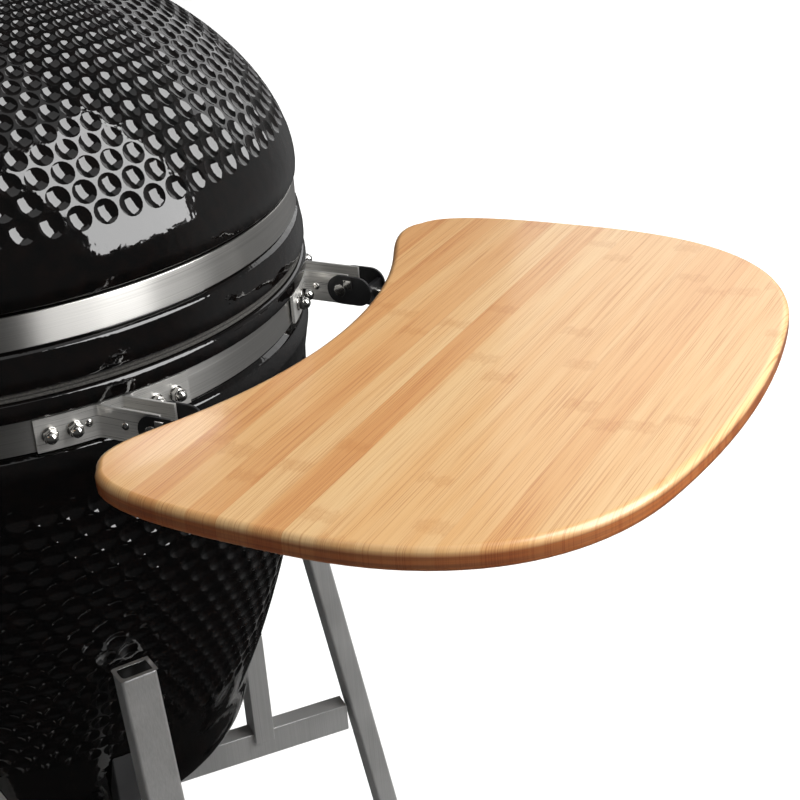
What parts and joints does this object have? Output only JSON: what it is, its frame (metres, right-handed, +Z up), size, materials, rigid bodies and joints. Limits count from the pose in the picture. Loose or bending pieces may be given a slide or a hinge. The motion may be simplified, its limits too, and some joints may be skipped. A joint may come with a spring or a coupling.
{
  "type": "kamado ceramic grill",
  "caption": "Egg-shaped ceramic charcoal grill with a sprung lid, top and draft vents, folding bamboo side shelves and a wheeled steel stand.",
  "frame": {"origin": "on the floor, under the middle of the whole grill", "axes": "+Z up, +X across the two side shelves, -Y the front with the lid handle and draft door, +Y the lid hinge"},
  "size_m": [1.331, 0.6832, 1.1547],
  "materials": {
    "black_glaze": "glossy black fired glaze over a thick cordierite shell",
    "fire_clay": "bare fired clay",
    "felt": "pressed heat-proof felt",
    "cast_iron": "black-coated casting",
    "leg_steel": "satin stainless tube",
    "bamboo": "strip-laminated bamboo under clear gloss lacquer",
    "black_steel": "black coated steel",
    "black_plastic": "moulded plastic",
    "rubber": "moulded rubber",
    "spring_steel": "bright spring wire",
    "glass": "clear flat glass",
    "pointer_red": "painted sheet pointer",
    "stainless": "brushed stainless steel"
  },
  "bodies": {
    "stand": {"pot_shell": "black_glaze", "lower_band": "stainless", "pot_gasket": "felt", "fire_box": "fire_clay", "fire_ring": "fire_clay", "draft_frame": "stainless", "hinge_base": "stainless", "hinge_pin": "stainless", "hinge_spring_left": "spring_steel", "hinge_spring_right": "spring_steel", "right_shelf_bracket_a": "stainless", "right_shelf_bracket_b": "stainless", "left_shelf_bracket_a": "stainless", "left_shelf_bracket_b": "stainless", "stand_cross": "leg_steel", "front_right_leg": "leg_steel", "front_right_leg_cap": "black_plastic", "front_right_pot_pad": "rubber", "rear_right_leg": "leg_steel", "rear_right_leg_cap": "black_plastic", "rear_right_pot_pad": "rubber", "rear_left_leg": "leg_steel", "rear_left_leg_cap": "black_plastic", "rear_left_pot_pad": "rubber", "front_left_leg": "leg_steel", "front_left_leg_cap": "black_plastic", "front_left_pot_pad": "rubber"},
    "lid": {"lid_dome": "black_glaze", "upper_band": "stainless", "lid_gasket": "felt", "hinge_lid": "stainless", "handle_bracket_left": "stainless", "handle_bracket_right": "stainless", "lid_handle": "bamboo", "thermometer_case": "stainless", "thermometer_glass": "glass", "vent_base": "cast_iron"},
    "pointer": {"thermometer_pointer": "pointer_red"},
    "hatch": {"vent_hatch": "cast_iron", "vent_knob": "black_plastic"},
    "wheel_damper": {"daisy_wheel": "cast_iron"},
    "draft_door": {"draft_door": "stainless"},
    "charcoal_grate": {"charcoal_grate": "cast_iron"},
    "cooking_grate": {"cooking_grate": "stainless"},
    "right_shelf": {"right_shelf_board": "bamboo", "right_fold_arm_a": "black_steel", "right_fold_arm_b": "black_steel"},
    "left_shelf": {"left_shelf_board": "bamboo", "left_fold_arm_a": "black_steel", "left_fold_arm_b": "black_steel"},
    "front_right_swivel": {"front_right_caster_fork": "black_steel"},
    "front_right_wheel": {"front_right_caster_wheel": "rubber"},
    "front_right_brake": {"front_right_caster_brake": "black_plastic"},
    "rear_right_swivel": {"rear_right_caster_fork": "black_steel"},
    "rear_right_wheel": {"rear_right_caster_wheel": "rubber"},
    "rear_left_swivel": {"rear_left_caster_fork": "black_steel"},
    "rear_left_wheel": {"rear_left_caster_wheel": "rubber"},
    "front_left_swivel": {"front_left_caster_fork": "black_steel"},
    "front_left_wheel": {"front_left_caster_wheel": "rubber"},
    "front_left_brake": {"front_left_caster_brake": "black_plastic"}
  },
  "joints": [
    {"name": "lid_hinge", "type": "hinge", "parent": "stand", "child": "lid", "pos_m": [0, 0.32959, 0.8192], "axis": [-1, 0, 0], "range_deg": [0, 75], "stiffness_Nm_per_rad": 55, "springref_deg": 75.06},
    {"name": "pointer_turn", "type": "hinge", "parent": "lid", "child": "pointer", "pos_m": [0, -0.23475, 0.976], "axis": [0, -0.7518, 0.6593], "range_deg": [-260, 0]},
    {"name": "hatch_swing", "type": "hinge", "parent": "lid", "child": "hatch", "pos_m": [0, 0.07759, 1.1074], "axis": [0, 0, 1], "range_deg": [0, 100]},
    {"name": "daisy_turn", "type": "hinge", "parent": "hatch", "child": "wheel_damper", "pos_m": [0, 0.00459, 1.1153], "axis": [0, 0, 1], "range_deg": [-20, 10]},
    {"name": "draft_slide", "type": "slide", "parent": "stand", "child": "draft_door", "axis": [1, 0, 0], "range_m": [0, 0.08]},
    {"name": "charcoal_grate_lift", "type": "slide", "parent": "stand", "child": "charcoal_grate", "axis": [0, 0, 1], "range_m": [0, 0.05]},
    {"name": "cooking_grate_lift", "type": "slide", "parent": "stand", "child": "cooking_grate", "axis": [0, 0, 1], "range_m": [0, 0.1]},
    {"name": "right_shelf_fold", "type": "hinge", "parent": "stand", "child": "right_shelf", "pos_m": [0.27912, -0.04211, 0.7868], "axis": [0.165, 0.9863, 0], "range_deg": [0, 88]},
    {"name": "left_shelf_fold", "type": "hinge", "parent": "stand", "child": "left_shelf", "pos_m": [-0.27912, -0.04211, 0.7868], "axis": [0.165, -0.9863, 0], "range_deg": [0, 88]},
    {"name": "front_right_swivel_turn", "type": "hinge", "parent": "stand", "child": "front_right_swivel", "pos_m": [0.24712, -0.21022, 0.104], "axis": [0, 0, 1], "continuous": true},
    {"name": "front_right_wheel_spin", "type": "hinge", "parent": "front_right_swivel", "child": "front_right_wheel", "pos_m": [0.27511, -0.21022, 0.0375], "axis": [0, 1, 0], "continuous": true},
    {"name": "front_right_brake_press", "type": "hinge", "parent": "front_right_swivel", "child": "front_right_brake", "pos_m": [0.22012, -0.21022, 0.0865], "axis": [0, -1, 0], "range_deg": [0, 18]},
    {"name": "rear_right_swivel_turn", "type": "hinge", "parent": "stand", "child": "rear_right_swivel", "pos_m": [0.24712, 0.21941, 0.104], "axis": [0, 0, 1], "continuous": true},
    {"name": "rear_right_wheel_spin", "type": "hinge", "parent": "rear_right_swivel", "child": "rear_right_wheel", "pos_m": [0.27511, 0.21941, 0.0375], "axis": [0, 1, 0], "continuous": true},
    {"name": "rear_left_swivel_turn", "type": "hinge", "parent": "stand", "child": "rear_left_swivel", "pos_m": [-0.24712, 0.21941, 0.104], "axis": [0, 0, 1], "continuous": true},
    {"name": "rear_left_wheel_spin", "type": "hinge", "parent": "rear_left_swivel", "child": "rear_left_wheel", "pos_m": [-0.27511, 0.21941, 0.0375], "axis": [0, 1, 0], "continuous": true},
    {"name": "front_left_swivel_turn", "type": "hinge", "parent": "stand", "child": "front_left_swivel", "pos_m": [-0.24712, -0.21022, 0.104], "axis": [0, 0, 1], "continuous": true},
    {"name": "front_left_wheel_spin", "type": "hinge", "parent": "front_left_swivel", "child": "front_left_wheel", "pos_m": [-0.27511, -0.21022, 0.0375], "axis": [0, 1, 0], "continuous": true},
    {"name": "front_left_brake_press", "type": "hinge", "parent": "front_left_swivel", "child": "front_left_brake", "pos_m": [-0.22012, -0.21022, 0.0865], "axis": [0, 1, 0], "range_deg": [0, 18]}
  ]
}
